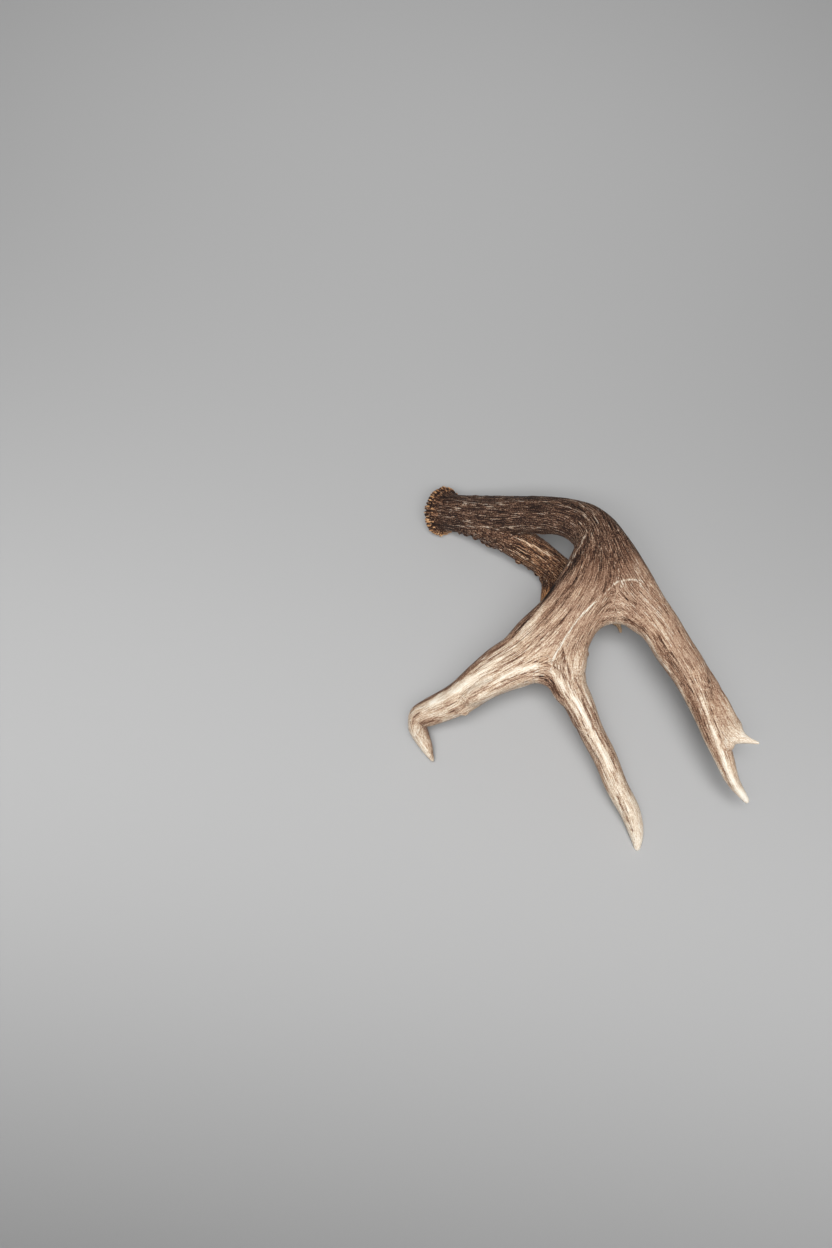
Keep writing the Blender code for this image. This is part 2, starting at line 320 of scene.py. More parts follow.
def grid_faces(rows, around):
    """Quads between neighbouring rings of a closed tube, as one array of indices."""
    ring = np.arange(around)
    next_ring = (ring + 1) % around
    start = np.arange(rows - 1)[:, None] * around
    corners = [start + ring, start + next_ring, start + around + next_ring, start + around + ring]
    return np.stack(corners, axis=-1).reshape(-1, 4)


def limb_tube(name):
    """Point(row, turn) = middle - cos(turn) * half width * side + sin(turn) * half thickness * up."""
    _, normal = LIMBS[name]
    rows = with_round_tip(ROWS[name])
    _, side, up = directions(rows, normal)
    turn = np.linspace(0, 2 * math.pi, AROUND, endpoint=False)
    across = np.cos(turn)[None, :, None] * side[:, None, :] * rows[:, None, 3:4] / 2
    through = np.sin(turn)[None, :, None] * up[:, None, :] * rows[:, None, 4:5] / 2
    points = (rows[:, None, :3] - across + through).reshape(-1, 3)
    return points, grid_faces(len(rows), AROUND)


def mesh_piece(name, points, faces):
    """An object at the origin. Its mesh holds (point + MOVE) * MM, which takes the drawing's millimetres to
    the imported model's metres."""
    mesh = bpy.data.meshes.new(name)
    mesh.from_pydata(((points + MOVE) * MM).tolist(), [], [tuple(face) for face in faces])
    piece = bpy.data.objects.new(name, mesh)
    bpy.context.scene.collection.objects.link(piece)
    return piece


def closed_tubes():
    """All tubes in one pair of lists. The first and last ring of a tube are also faces, which close it."""
    points, faces, used = [], [], 0
    for name in LIMBS:
        tube_points, quads = limb_tube(name)
        faces += (quads + used).tolist()
        faces.append([used + i for i in reversed(range(AROUND))])
        faces.append([used + len(tube_points) - AROUND + i for i in range(AROUND)])
        points.append(tube_points)
        used += len(tube_points)
    return np.vstack(points), faces


def apply_modifiers(piece):
    """Gives the piece the mesh that its modifiers make, and takes the modifiers off."""
    graph = bpy.context.evaluated_depsgraph_get()
    mesh = bpy.data.meshes.new_from_object(piece.evaluated_get(graph))
    piece.modifiers.clear()
    piece.data = mesh


def one_skin():
    """The tubes as one voxel skin. Each pass of smoothing moves a point half way to its neighbours' mean."""
    skin = mesh_piece("antler", *closed_tubes())
    remesh = skin.modifiers.new("remesh", "REMESH")
    remesh.mode = "VOXEL"
    remesh.voxel_size = VOXEL * MM
    smooth = skin.modifiers.new("smooth", "SMOOTH")
    smooth.factor = 0.5
    smooth.iterations = SMOOTHING
    apply_modifiers(skin)
    return skin


def read_points(mesh):
    """The mesh's points in the drawing's millimetres: place / MM - MOVE."""
    values = np.empty(3 * len(mesh.vertices), np.float32)
    mesh.vertices.foreach_get("co", values)
    return values.reshape(-1, 3).astype(float) / MM - MOVE


def read_normals(mesh):
    """The outward normal at each point, which is the mean of those of the faces round it."""
    values = np.empty(3 * len(mesh.vertices), np.float32)
    mesh.vertex_normals.foreach_get("vector", values)
    return values.reshape(-1, 3).astype(float)


antler = one_skin()
points = read_points(antler.data)
normals = read_normals(antler.data)
print(f"skin: {len(points)} points, {len(antler.data.polygons)} faces, {time.time() - started:.1f} s")

# %% [markdown]
# ## Which way the grain runs
#
# Blood vessels fed the growing antler lengthwise and left fine furrows along it, which fan out at the forks.
# Lines drawn by hand could never be this many, so they are worked out. The first step is to know at every
# point which way they run: every station pulls the direction at a nearby point towards its own.

# %% Direction of the grain
# A station's reach is this share of its limb's radius, and past FAR reaches it isn't heard.
REACH = 0.62
FAR = 3.6
FLOW_SKIP = 2
# How many points are worked on at once.
CHUNK = 2500
PAIRS = [(0, 0), (1, 1), (2, 2), (0, 1), (0, 2), (1, 2)]
# The spur and the small web in the notch lie across the grain, which runs past them.
GRAIN_LIMBS = [name for name in ROWS if name not in ("spur", "notch_web")]


def flow_stations():
    """One row for each second station of every limb and arch: its centre, its reach, and what it says. That
    is the six products of its direction with itself, its direction times how fast the radius grows, its
    centre, and 1."""
    centres, reaches, says = [], [], []
    for name in GRAIN_LIMBS:
        rows = ROWS[name]
        centre, ahead = rows[:, :3], WAYS[name][0]
        radius = (rows[:, 3] + rows[:, 4]) / 4
        growth = np.gradient(radius) / STEP / radius
        products = np.stack([ahead[:, i] * ahead[:, j] for i, j in PAIRS], axis=1)
        row = np.hstack([products, ahead * growth[:, None], centre, np.ones((len(rows), 1))])
        centres.append(centre[::FLOW_SKIP])
        reaches.append(REACH * radius[::FLOW_SKIP])
        says.append(row[::FLOW_SKIP])
    return [np.concatenate(part).astype(np.float32) for part in (centres, reaches, says)]


CENTRES, REACHES, SAYS = flow_stations()


def squares(places, centres):
    """Squared distance of every place from every centre."""
    return (places**2).sum(1)[:, None] + (centres**2).sum(1)[None, :] - 2 * places @ centres.T


def heard(places):
    """What the stations near the places say, each counted exp(-(distance / reach)^2 / 2)."""
    margin = FAR * REACHES[:, None]
    near = ((CENTRES + margin > places.min(axis=0)) & (CENTRES - margin < places.max(axis=0))).all(axis=1)
    counts = np.exp(-0.5 * squares(places, CENTRES[near]) / REACHES[near] ** 2)
    return counts @ SAYS[near]


def in_chunks(work, *arrays):
    """Runs the work on slices of the arrays, so that no table of places by stations grows too large."""
    parts = [work(*[a[i : i + CHUNK] for a in arrays]) for i in range(0, len(arrays[0]), CHUNK)]
    return np.concatenate(parts)


def turned(said, way):
    """The direction that the stations agree on, starting from the last one. Directions are averaged as
    products with themselves, so that two limbs that run opposite ways don't cancel. Multiplied by those
    products three times, the way turns to their main axis."""
    for _ in range(3):
        x, y, z = way.T
        rows = [(0, 3, 4), (3, 1, 5), (4, 5, 2)]
        pulled = [said[:, a] * x + said[:, b] * y + said[:, c] * z for a, b, c in rows]
        way = 1e-6 * way + np.stack(pulled, axis=1)
        way = way / (np.linalg.norm(way, axis=1, keepdims=True) + 1e-20)
    return way


def strongest(places):
    """The number of the station that counts most."""
    return (squares(places, CENTRES) / REACHES**2).argmin(axis=1)


def leads():
    """The stations' own directions. Those of the arches and rims get the sign that points to the tips, -Y."""
    parts = []
    for name in GRAIN_LIMBS:
        ahead = WAYS[name][0][::FLOW_SKIP]
        if name in ARCHES or name in ("rear_rim", "front_rim"):
            ahead = -np.sign(ahead[:, 1:2]) * ahead
        parts.append(ahead)
    return np.vstack(parts).astype(np.float32)


# The points are taken in the order of their strongest stations, so that each slice of them is a small region.
first = in_chunks(strongest, points.astype(np.float32))
order = np.argsort(first, kind="stable")
back = np.argsort(order)
places = points[order].astype(np.float32)
way = in_chunks(lambda part, ahead: turned(heard(part), ahead), places, leads()[first[order]])
print(f"grain direction: {len(way)} points, {len(CENTRES)} stations, {time.time() - started:.1f} s")

# %% [markdown]
# ## Noise along the grain
#
# A furrow is long one way and narrow the other. From every point the script walks up and down the grain and
# averages smooth noise on the way, so that points on one grain line get nearly the same number and the next
# line gets another. A wave texture would do on a straight stick, but this also follows the bends and forks.

# %% Noise along the grain
# Size of each noise in mm, the strides of the walk in mm, and how many of them each noise takes.
GRAIN_SIZES = (1.4, 3.2, 8.0)
STRIDES = [1.5] * 8 + [3.0] * 6 + [5.0] * 4
GRAIN_STEPS = (8, 12, 18)


def lattice(cell, seed):
    """A random number from -1 to 1 for each whole-number cell, mixed from its three indices and the seed."""
    x, y, z = (cell[:, i].astype(np.uint32) for i in range(3))
    mixed = x * np.uint32(374761393) + y * np.uint32(668265263) + z * np.uint32(2147483647)
    mixed = mixed + np.uint32(seed * 974634777 % 2**32)
    mixed = (mixed ^ (mixed >> np.uint32(13))) * np.uint32(1274126177)
    mixed = mixed ^ (mixed >> np.uint32(16))
    mixed = (mixed * np.uint32(2246822519)) ^ (mixed >> np.uint32(15))
    return (mixed & np.uint32(0xFFFFFF)).astype(np.float32) / 8388607.5 - 1


def noise(places, size, seed):
    """Smooth noise: the numbers at the eight corners of the cell round a place, mixed by s-curves of where it
    lies in the cell."""
    scaled = places / size + 1000
    low = np.floor(scaled)
    part = scaled - low
    part = part * part * (3 - 2 * part)
    cell = low.astype(np.int64)
    total = np.zeros(len(places), np.float32)
    for corner in range(8):
        step = np.array([corner & 1, corner >> 1 & 1, corner >> 2 & 1])
        share = np.prod(np.where(step, part, 1 - part), axis=1)
        total += share * lattice(cell + step, seed)
    return total


def stepped(places, heading, stride):
    """Place + stride * (heading + growth * way out from the middle line). That is one stride along the grain,
    and a limb that narrows draws the places in."""
    said = heard(places)
    total = said[:, 12:] + 1e-9
    heading = turned(said, heading)
    growth = (said[:, 6:9] * heading).sum(1, keepdims=True) / total
    out = places - said[:, 9:12] / total
    out -= (out * heading).sum(1, keepdims=True) * heading
    held = (said[:, 12:] > 1e-5) * np.clip(growth, -0.2, 0.2)
    return np.hstack([places + stride * (heading + held * out), heading])


def along_grain(places, way):
    """Three noises of different size, each summed over its own stretch of the grain line through every
    place, to both sides. The sum over n steps is divided by the root of n, which keeps its strength."""
    sums = np.zeros((len(GRAIN_SIZES), len(places)), np.float32)
    for sign in (1, -1):
        at, heading = places, sign * way
        for step, stride in enumerate(STRIDES):
            for scale, (size, steps) in enumerate(zip(GRAIN_SIZES, GRAIN_STEPS)):
                if step < steps:
                    sums[scale] += noise(at, size, 7 + scale) / math.sqrt(2 * steps)
            moved = in_chunks(lambda part, ahead: stepped(part, ahead, stride), at, heading)
            at, heading = moved[:, :3], moved[:, 3:]
    return sums


def even(values):
    """The values spread so that their mean is 0 and their standard deviation is 1."""
    return (values - values.mean()) / values.std()


fine, middling, broad = (even(values[back]) for values in along_grain(places, way))
print(f"grain noise: {time.time() - started:.1f} s")

# %% [markdown]
# ## Where a point lies on a limb
#
# Furrows, bands and worn edges are placed by where they run on a limb: how far along it, how far across it,
# and on which side. The nearest station of the limb gives all three. A flat unwrapping of the skin could give
# them too, but it would tear at every fork.

# %% Limb coordinates
def on_limb(name):
    """Along, across and through in mm for every point, and out, which is 2 * the root of (across^2 + ahead^2)
    / width^2 + through^2 / thickness^2. It is 1 on the limb's own oval."""
    rows = ROWS[name]
    forward, side, up = WAYS[name]
    nearest = in_chunks(lambda part: squares(part, rows[:, :3]).argmin(axis=1), points)
    offset = points - rows[nearest, :3]
    ahead = (offset * forward[nearest]).sum(1)
    along = nearest * STEP + ahead
    across = (offset * side[nearest]).sum(1)
    through = (offset * up[nearest]).sum(1)
    squared = (across**2 + ahead**2) / rows[nearest, 3] ** 2 + through**2 / rows[nearest, 4] ** 2
    out = 2 * np.sqrt(squared)
    return {"along": along, "across": across, "through": through, "out": out}


PLACED = {name: on_limb(name) for name in ROWS}
print(f"limb coordinates: {time.time() - started:.1f} s")

# %% [markdown]
# ## Tone from burr to tip
#
# The foot of an antler is stained dark by bark and soil, and its tips are rubbed to ivory. Tone is one number
# from 0 (nearly black) to 1 (ivory), listed along each limb and mixed where limbs meet. One gradient over the
# whole antler would be simpler, but the limbs don't fade at the same distance from the burr.

# %% Tone along the limbs
# How fast a limb's say in the tone falls off outside it.
TONE_FALL = 2.2
TONES = {
    # limb: (mm along it, tone)
    "beam": [(0, 0.12), (60, 0.13), (120, 0.15), (160, 0.18), (200, 0.22), (222, 0.27), (238, 0.49),
             (270, 0.53), (330, 0.55), (390, 0.60), (430, 0.77), (460, 0.92)],
    "front": [(0, 0.22), (25, 0.36), (45, 0.49), (80, 0.59), (110, 0.70), (170, 0.77), (230, 0.76),
              (290, 0.85)],
    "middle": [(0, 0.24), (25, 0.45), (50, 0.58), (90, 0.69), (130, 0.74), (200, 0.76), (260, 0.91)],
    "side_web": [(0, 0.53), (40, 0.54), (80, 0.68), (100, 0.90)],
    "brow": [(0, 0.15), (40, 0.26), (90, 0.27), (112, 0.18), (125, 0.36), (150, 0.60), (180, 0.78)],
    "prong": [(0, 0.17), (14, 0.17), (20, 0.40), (50, 0.60)],
    "spur": [(0, 0.66), (18, 0.74)],
    "rear_web": [(0, 0.27), (12, 0.37), (22, 0.56), (40, 0.62)],
    "front_web": [(0, 0.57), (35, 0.72)],
}


def base_tone():
    """The tones of the limbs at each point, weighted by exp(-(TONE_FALL * out)^2)."""
    total = np.zeros(len(points))
    weight = np.full(len(points), 1e-12)
    for name, tones in TONES.items():
        place = PLACED[name]
        share = np.exp(-((TONE_FALL * place["out"]) ** 2))
        total += share * np.interp(place["along"], *zip(*tones))
        weight += share
    return total / weight


tone = base_tone()
print(f"tone: {tone.min():.2f} to {tone.max():.2f}")

# %% [markdown]
# ## Streaks, painted highlights and painted shade
#
# Some lines are too strong to be left to noise: the pale vein over the fork, the cream and brown bands that
# sweep round the crotches, the pale ridge of the rear limb. Some bands paint light as colour: painted shade on
# the front limb's dark upper edge, on the hook's inner face and on the rear limb's face beside its ridge, which
# are turned from the lamps, and painted highlights along the front limb and on the rear limb's ridge. Each is a
# path in limb coordinates with a width, a change of tone and a height, strongest on its path and fading to
# both sides as a bell. A brush could paint them, but a path in millimetres can be read and moved.

# %% Paths of the streaks
# Each row: the limb or arch, the bell's half width in mm, the change of tone, the height in mm, and the path
# as (along, across) in mm.
STREAKS_AND_PAINTED_LIGHT = [
    ("rear_arch", 0.9, 0.30, 0.25, [(113, -19), (123, -15), (131, -10), (141, -6), (148, -4), (158, -2),
                                    (165, -1), (178, -1), (186, -5), (191, -9), (195, -14), (199, -16),
                                    (204, -19), (212, -20)]),
    ("beam", 1.2, -0.10, -0.30, [(236, -3), (244, -6), (249, -13), (256, -16), (265, -15), (284, -13)]),
    ("rear_arch", 1.0, -0.16, -0.15, [(196, 0), (206, -1), (214, -1), (221, -1), (238, 1)]),
    ("beam", 1.2, 0.18, 0.20, [(260, -8), (267, -6), (275, -3), (288, -1), (304, -1)]),
    ("rear_rim", 1.2, 0.14, 0.10, [(50, 8), (58, 8), (80, 8), (110, 8), (140, 8)]),
    ("rear_rim", 0.8, -0.09, -0.10, [(60, 5), (80, 4.5), (100, 5), (125, 5)]),
    ("rear_rim", 0.8, 0.08, 0.10, [(64, 2), (80, 1), (100, 1), (120, 2)]),
    ("front_rim", 0.9, -0.19, -0.20, [(26, 4), (45, 4), (59, 3), (69, 3.5), (77, 4), (85, 5.5), (99, 7),
                                      (111, 7), (127, 7), (144, 7)]),
    ("front_rim", 0.8, -0.17, -0.20, [(22, 1.5), (45, 1), (59, 0), (69, 0), (77, 0.5), (85, 2), (99, 4.5),
                                      (111, 4.5), (136, 5)]),
    ("front_rim", 2.4, 0.15, 0.15, [(26, -1), (41, -2), (60, -3.5), (72, -4.5), (80, -4), (91, -2),
                                    (102, -1.5), (117, -1.5), (140, -3)]),
    ("front_rim", 0.8, -0.14, -0.10, [(41, -6), (60, -8), (72, -9), (83, -8), (101, -6)]),
    ("front_rim", 0.9, 0.09, 0.10, [(18, 8), (60, 9), (80, 9), (100, 9.5), (125, 9.5), (144, 9)]),
    ("middle", 1.0, -0.20, -0.20, [(84, 7), (90, 5), (100, 1), (112, -5), (130, -4), (152, -6)]),
    ("middle", 1.0, 0.16, 0.10, [(86, 4), (92, 2), (105, -3), (124, -5), (141, -6)]),
    ("front", 1.0, 0.10, 0.45, [(-2, 14), (11, 14), (21, 16), (34, 19), (50, 24)]),
    ("front", 1.3, -0.20, -0.70, [(-4, 11), (9, 10), (20, 12), (31, 15), (43, 19), (55, 21), (67, 23),
                                  (86, 24)]),
    ("front", 6.0, -0.09, 0.0, [(10, 12), (30, 14), (50, 17), (80, 18)]),
    ("front", 0.9, -0.20, -0.30, [(54, 24), (70, 23.6), (85, 22.6), (102, 20.8), (116, 18.8), (132, 17),
                                  (150, 14)]),
    ("front", 0.9, -0.16, -0.20, [(88, 3), (110, 4), (124, 2), (142, -1), (160, -2)]),
    ("front", 0.8, -0.16, -0.20, [(70, -2), (90, 0), (108, 0), (126, -3), (140, -6)]),
    ("front", 0.9, -0.14, -0.20, [(128, 6), (146, 2), (164, 1), (184, -1), (200, 0)]),
    ("front", 0.9, -0.14, -0.20, [(118, 13), (136, 12), (158, 9), (176, 8)]),
    # A painted highlight along the middle of the front limb.
    ("front", 3.6, 0.10, 0.30, [(26, 6), (47, 12), (67, 16), (87, 18), (106, 17), (123, 14), (143, 10)]),
    ("front", 1.5, -0.20, -0.30, [(8, -1), (28, 3), (48, 8), (70, 12), (89, 13), (107, 12)]),
    # A painted highlight just inside the front limb's dark edge.
    ("front", 3.4, 0.16, 0.30, [(124, 11), (135, 9), (155, 6), (182, 5), (224, 4)]),
    ("front", 1.5, -0.18, -0.20, [(148, -6), (169, -8), (186, -8), (212, -9)]),
    ("front", 1.1, -0.12, -0.10, [(193, -4), (224, -2)]),
    ("front", 2.0, -0.22, 0.0, [(226, 0), (236, 1), (248, 5)]),
    # Painted shade on the hook's inner face, which is turned from the lamps.
    ("front", 3.2, -0.32, -0.50, [(214, -10), (232, -8.5), (260, -6), (268, -4), (284, -2)]),
    ("middle", 1.0, -0.22, -0.20, [(106, 14), (123, 11), (144, 10), (168, 8), (184, 7), (204, 6)]),
    ("middle", 0.9, -0.19, -0.20, [(112, 9), (130, 7), (150, 6), (186, 4)]),
    ("middle", 2.2, 0.12, 0.30, [(116, 4), (156, 2), (179, 2), (200, 2)]),
    ("middle", 0.9, -0.24, -0.20, [(124, -1), (150, -1), (170, -2), (186, -3), (202, -3)]),
    ("middle", 0.8, -0.22, -0.20, [(136, -4), (156, -4), (176, -4.5), (194, -5)]),
    ("middle", 0.8, -0.20, -0.20, [(128, -8), (150, -7), (172, -6.5), (190, -6.5)]),
    ("middle", 2.0, -0.12, -0.20, [(140, -11), (160, -9), (180, -8), (200, -7), (225, -7)]),
    ("middle", 0.8, -0.16, -0.10, [(190, 1), (206, 0), (222, -1)]),
    ("middle", 0.8, -0.34, -0.30, [(211, 5), (232, 6), (257, 4)]),
    ("middle", 0.7, -0.22, -0.20, [(214, 2), (238, 4)]),
    ("beam", 1.8, 0.20, 0.30, [(278, 12), (306, 12), (330, 12), (360, 11), (400, 8), (430, 5)]),
    # Painted shade on the rear limb's face between its ridge and its inner edge, which is turned from the
    # lamps.
    ("beam", 2.8, -0.15, -0.30, [(298, 7), (325, 8), (350, 7), (373, 6), (398, 4.5), (417, 3.5), (437, 1.5)]),
    ("beam", 0.9, -0.16, -0.20, [(285, 4), (310, 2), (335, 0), (348, -2)]),
    ("beam", 0.9, -0.20, -0.20, [(333, 5), (350, 3), (360, 1), (374, 0), (388, 0)]),
    ("beam", 3.0, 0.08, 0.30, [(322, -2), (340, -2.5), (356, -2.5), (372, -2)]),
    # In this row and the next: the rear limb's ridge, raised, its pale tone partly the bone's and partly a
    # painted highlight.
    ("beam", 2.0, 0.20, 0.60, [(350, -1.5), (364, -2), (378, -2), (397, -1.2), (415, -1), (433, -1),
                               (449, 0)]),
    ("beam", 2.4, 0.16, 0.40, [(376, -1.8), (397, -1), (415, -0.5), (433, -1), (453, -1)]),
    ("beam", 0.9, -0.20, -0.60, [(346, -6.6), (360, -6.4), (370, -5.8), (382, -5.2), (400, -4.8)]),
    ("beam", 7.0, -0.06, -1.10, [(348, -13), (375, -14), (398, -17)]),
    ("beam", 0.9, 0.13, 0.25, [(133, -13), (145, -15), (160, -14), (173, -12), (183, -9), (191, -7)]),
    ("beam", 0.9, -0.12, -0.25, [(136, -10), (150, -12), (165, -11), (178, -8), (190, -3)]),
    ("beam", 0.9, 0.12, 0.25, [(140, -7), (155, -9), (168, -7), (180, -4), (190, 2)]),
    ("beam", 0.9, -0.14, -0.25, [(146, -3), (160, -4), (172, 0), (184, 6), (191, 13)]),
    ("beam", 1.0, 0.12, 0.35, [(160, -6), (170, -3), (185, 3), (193, 9), (198, 17), (203, 26)]),
    ("beam", 0.8, 0.13, 0.25, [(22, 11), (39, 11), (57, 12), (73, 11), (85, 13)]),
    ("brow", 1.1, -0.17, -0.50, [(40, 2), (57, 0), (73, -2), (96, -6)]),
    ("brow", 1.1, 0.16, 0.25, [(44, -2), (57, -4), (73, -6), (92, -9)]),
    ("brow", 1.0, -0.18, -0.50, [(48, -6), (62, -8), (76, -10), (100, -12)]),
    ("brow", 0.9, 0.16, 0.20, [(60, 2), (75, 1), (90, -2)]),
    ("brow", 0.9, -0.16, -0.40, [(44, 6), (60, 5), (78, 3), (98, 0)]),
    ("brow", 0.8, 0.14, 0.20, [(50, 8), (66, 7), (84, 5)]),
    ("brow", 1.2, 0.26, 0.20, [(75, -9), (92, -3)]),
]
# Dark borders: everything beyond the path is darker. The first is painted shade along the front limb's upper
# edge, which is turned from the lamps. Each row: the limb, the softness in mm, the change of tone, and the
# path.
DARK_AND_SHADE_BORDERS = [
    ("front", 1.4, -0.36, [(40, 24), (60, 23.4), (85, 22), (102, 20.2), (116, 18.2), (140, 15.2), (150, 13.4),
                           (163, 11.6), (177, 10.6), (193, 10.8), (209, 9.7), (222, 8.2), (240, 6.5)]),
    ("front", 3.0, -0.08, [(20, 12), (40, 16), (60, 19), (86, 19)]),
    ("middle", 2.0, -0.18, [(96, 13), (123, 13), (150, 11), (190, 8), (215, 8)]),
    ("brow", 4.0, -0.09, [(24, 5), (60, 5), (110, 4)]),
]
# Short pale marks where a furrow's edge is rubbed: along and across on the beam, and length, in mm.
RUBBED = [
    (31, -4, 7), (37, -7, 6), (50, -5, 12), (27, 4, 4), (67, -5, 7), (87, 5, 6), (88, 12, 5), (107, 5, 7),
    (107, 9, 4), (118, 5, 12), (126, 6, 7), (136, 5, 7), (141, 4, 6), (127, -1, 12), (114, 9, 4), (140, 9, 9),
    (60, 2, 9), (76, -9, 8), (96, -6, 9), (44, 7, 6), (100, 0, 8), (152, 0, 8), (158, 6, 9), (70, 6, 6),
]
print(f"{len(STREAKS_AND_PAINTED_LIGHT)} streaks, {len(DARK_AND_SHADE_BORDERS)} borders, {len(RUBBED)} rubbed marks")

# %% [markdown]
# ## Paint the streaks
#
# A real streak is never ruled: it wanders from side to side, fades at both ends and is stronger in some
# places than in others. Noise gives the wandering and the uneven strength. It is read at the point itself, so
# streaks that lie side by side wander together, as grain lines do.

# %% Paint the streaks
# The mm over which a streak fades at each end.
TAPER = 7


def soft_step(value):
    """0 below 0, 1 above 1, and an s-curve between."""
    t = np.clip(value, 0, 1)
    return t * t * (3 - 2 * t)


wander = 0.45 * noise(points, 11.0, 31) + 0.15 * noise(points, 3.5, 32)
uneven = np.clip(0.95 + 0.30 * noise(points, 6.0, 33) + 0.08 * fine, 0.45, 1.25)


def beside(limb, path):
    """How far across from the path each point lies, in mm, and how fully it lies between the path's ends:
    that is an s-curve over TAPER mm at both ends, and falls off below and far outside the limb."""
    place = PLACED[limb]
    along, across = np.array(path, float).T
    centre = np.interp(place["along"], along, across)
    ends = soft_step((place["along"] - along[0]) / TAPER)
    ends *= soft_step((along[-1] - place["along"]) / TAPER)
    upper = soft_step((place["through"] + 8) / 6) * soft_step((1.8 - place["out"]) / 0.3)
    return place["across"] - centre + wander, ends * upper


def streak(limb, width, path):
    """exp(-(distance across from the path / width)^2)."""
    aside, share = beside(limb, path)
    return np.exp(-((aside / width) ** 2)) * share


def border(limb, softness, path):
    """An s-curve, softness mm wide, from 0 on the near side of the path to 1 beyond it."""
    aside, share = beside(limb, path)
    return soft_step(aside / softness + 0.5) * share


# Streaks up to this wide, in mm, are finer than the faces, so they also go into a second value, thin, from -1
# (dark) to 1 (pale). The shader draws a sharp line where it is strong. The points keep only a part of such a
# streak's tone, and FULL_CHANGE is the change of tone that makes thin 1.
THIN = 1.1
KEPT_TONE = 0.6
FULL_CHANGE = 0.19
# The tone of streaks, borders and rubbed marks, with painted highlights and painted shade among them.
streak_and_painted_light_tone = np.zeros(len(points))
streak_height = np.zeros(len(points))
thin = np.zeros(len(points))
for limb, width, change, lift, path in STREAKS_AND_PAINTED_LIGHT:
    mask = streak(limb, width, path)
    streak_height += lift * mask
    streak_and_painted_light_tone += (KEPT_TONE if width <= THIN else 1.0) * change * mask * uneven
    if width <= THIN:
        thin += np.clip(change / FULL_CHANGE, -1, 1) * mask * uneven
for limb, softness, change, path in DARK_AND_SHADE_BORDERS:
    streak_and_painted_light_tone += change * border(limb, softness, path) * uneven
for along, across, length in RUBBED:
    place = PLACED["beam"]
    ends = soft_step(1.4 - np.abs(place["along"] - along) / (length / 2))
    ends *= soft_step((place["through"] + 3) / 4)
    mask = ends * np.exp(-(((place["across"] - across + 0.5 * wander) / 0.8) ** 2))
    thin += 1.2 * mask * np.clip(uneven + 0.3 * middling, 0, 1.6)
    streak_and_painted_light_tone += 0.10 * mask
    streak_height += 0.2 * mask
print(f"streaks: {streak_height.min():.1f} to {streak_height.max():.1f} mm, {time.time() - started:.1f} s")

# %% [markdown]
# ## Pearls
#
# The foot of an antler is rough with small beads, called pearls, long with the grain and denser near the
# burr. They stand in a jittered lattice: cells round the limb times cells along it. A cell's numbers come
# from the same mixing as the noise, so each pearl has its own place, length and height, and many cells stay
# empty. Hundreds of small balls would do too, but they would not melt into the skin as pearls do.

# %% Pearls
PEARLS = [
    # limb, cells round, cell length in mm, chance near the foot, where it ends, height in mm, seed
    ("beam", 26, 11.0, 0.55, 185, 0.55, 51),
    ("brow", 16, 7.0, 0.80, 170, 1.9, 52),
    ("prong", 10, 7.0, 0.40, 40, 0.40, 53),
]


def draws(cell_round, cell_along, seed):
    """Five random numbers from 0 to 1 for each cell."""
    cells = np.stack([cell_round, cell_along, np.zeros_like(cell_round)], axis=1).astype(np.int64) + 500
    return [0.5 + 0.5 * lattice(cells, 10 * seed + i) for i in range(5)]


def pearls(limb, around, length, chance, end, seed):
    """Height from 0 to 1: the largest, over the nine cells round a point, of size * exp(-q^1.5), where q is
    (distance round / half width)^2 + (distance along / half length)^2."""
    place = PLACED[limb]
    nearest = np.clip((place["along"] / STEP).astype(int), 0, len(ROWS[limb]) - 1)
    radius = (ROWS[limb][nearest, 3] + ROWS[limb][nearest, 4]) / 4
    turn = np.arctan2(place["through"], place["across"]) / (2 * math.pi) * around
    down = place["along"] / length
    best = np.zeros(len(points))
    for step in range(9):
        row = np.floor(down) + step // 3 - 1
        cell = np.floor(turn) + step % 3 - 1
        there, shift, slide, size, long = draws(cell % around, row, seed)
        offset = turn - cell - 0.5 - 0.6 * (shift - 0.5) - 0.5 * (row % 2 - 0.5)
        offset = (offset + around / 2) % around - around / 2
        aside = offset * 2 * math.pi * radius / around / 1.5
        ahead = (down - row - 0.5 - 0.7 * (slide - 0.5)) * length / (2.2 + 2.6 * long)
        bead = (0.4 + 0.6 * size) * np.exp(-((aside**2 + ahead**2) ** 1.5))
        best = np.maximum(best, bead * (there < chance * np.clip(1.2 - row * length / end, 0, 1)))
    return best * (place["out"] < 1.5) * (place["along"] > -4)


pearl_height = np.zeros(len(points))
pearl_top = np.zeros(len(points))
for limb, around, length, chance, end, lift, seed in PEARLS:
    beads = pearls(limb, around, length, chance, end, seed)
    # The brow tine's lower edge, on its positive side, is the roughest.
    edge = np.clip(0.5 + PLACED[limb]["across"] / 9, 0.4, 1.7) if limb == "brow" else 1
    pearl_height = np.maximum(pearl_height, lift * edge * beads)
    pearl_top = np.maximum(pearl_top, beads)
print(f"pearls on {np.mean(pearl_height > 0.1):.0%} of the points, up to {pearl_height.max():.1f} mm high")

# %% [markdown]
# ## Carve the grain and colour it
#
# Furrows are low and hold dirt, and the ridges between them are rubbed pale. So the same noise does both
# jobs: it moves each point along its normal, and it changes the point's tone. Displacement in a shader would
# be easier, but it wouldn't reach the exported mesh, so the points themselves are moved.

# %% Carve the grain
# The Smooth modifier draws the skin in by about this much, in mm.
SHRINKAGE = 0.3
